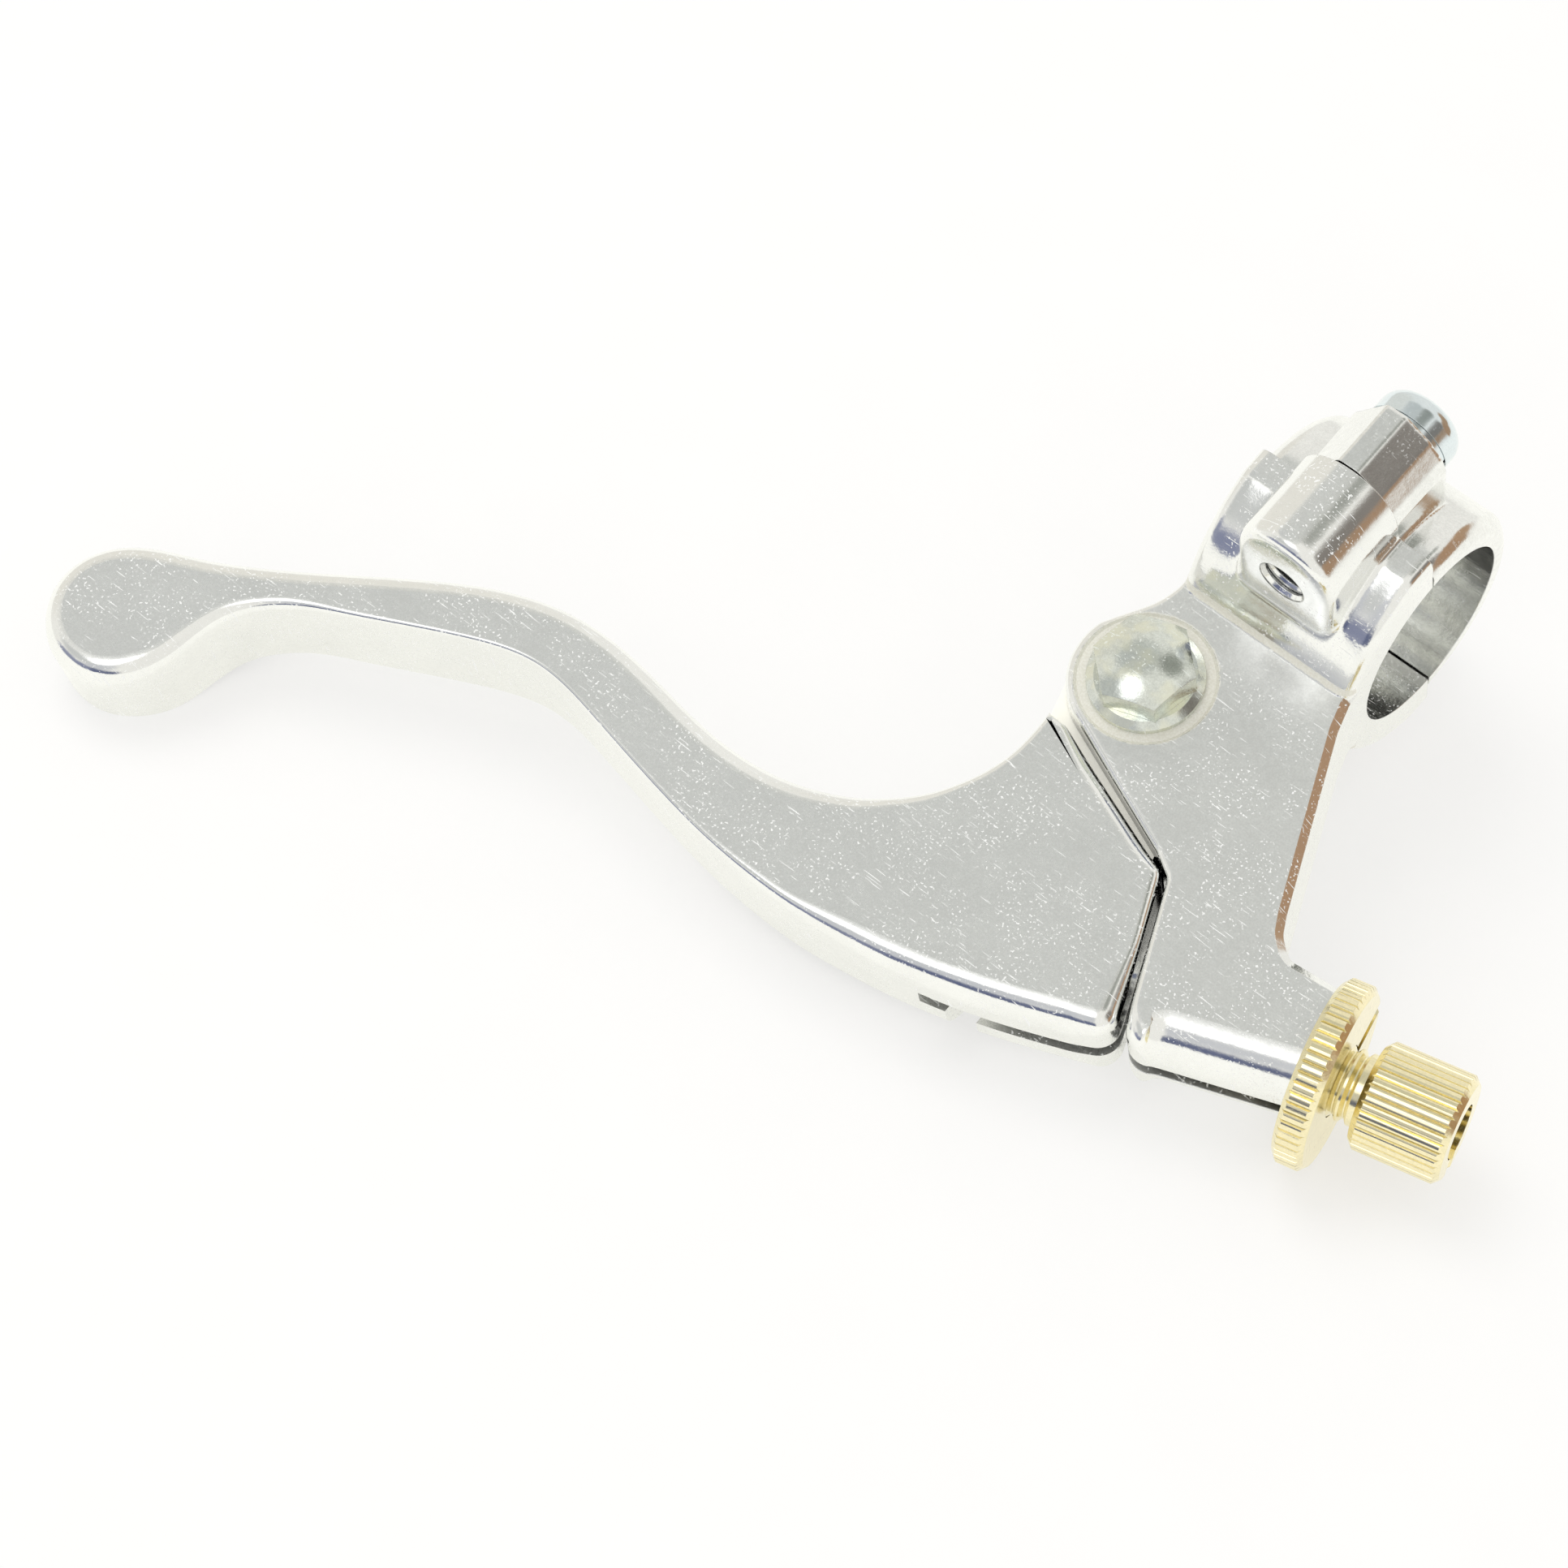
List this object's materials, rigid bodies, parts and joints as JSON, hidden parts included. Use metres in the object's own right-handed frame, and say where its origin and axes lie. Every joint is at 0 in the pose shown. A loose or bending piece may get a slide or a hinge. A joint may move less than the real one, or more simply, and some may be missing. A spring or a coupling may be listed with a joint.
{
  "type": "clutch lever",
  "caption": "Cable clutch lever on a forked perch with a two-piece handlebar clamp and a knurled cable adjuster with lock wheel.",
  "frame": {"origin": "handlebar axis at the middle of the clamp's length", "axes": "+X along the handlebar axis towards the cable adjuster, +Y away from the lever, +Z along the pivot bolt towards its head"},
  "size_m": [0.1602, 0.1106, 0.05],
  "materials": {
    "forged_aluminium": "polished forging with flat machined faces",
    "cast_aluminium": "polished casting",
    "zinc_yellow": "zinc plated with a faint yellow-green passivation",
    "zinc_clear": "bright clear zinc plate",
    "bronze": "oil-impregnated sintered bronze",
    "brass": "bright turned and knurled brass",
    "nylon": "moulded nylon ring"
  },
  "bodies": {
    "perch": {"perch_body": "cast_aluminium", "clamp_cap": "cast_aluminium", "clamp_screw_upper": "zinc_clear", "clamp_screw_lower": "zinc_clear", "spring_washer_upper": "zinc_clear", "spring_washer_lower": "zinc_clear", "pivot_bolt": "zinc_yellow", "pivot_washer": "zinc_clear", "pivot_nut": "zinc_clear", "nut_insert": "nylon"},
    "lever": {"lever": "forged_aluminium", "pivot_bushing": "bronze"},
    "adjuster": {"adjuster_barrel": "brass"},
    "lock_wheel": {"adjuster_lock_wheel": "brass"}
  },
  "joints": [
    {"name": "lever_pivot", "type": "hinge", "parent": "perch", "child": "lever", "pos_m": [-0.00725, -0.025, 0], "axis": [0, 0, -1], "range_deg": [-0.8, 30]},
    {"name": "adjuster_travel", "type": "slide", "parent": "perch", "child": "adjuster", "axis": [0.9715, 0.2368, 0], "range_m": [-0.0028, 0.009]},
    {"name": "lock_wheel_spin", "type": "hinge", "parent": "perch", "child": "lock_wheel", "pos_m": [0.03349, -0.04646, -0.0002], "axis": [0.9715, 0.2368, 0], "continuous": true}
  ]
}
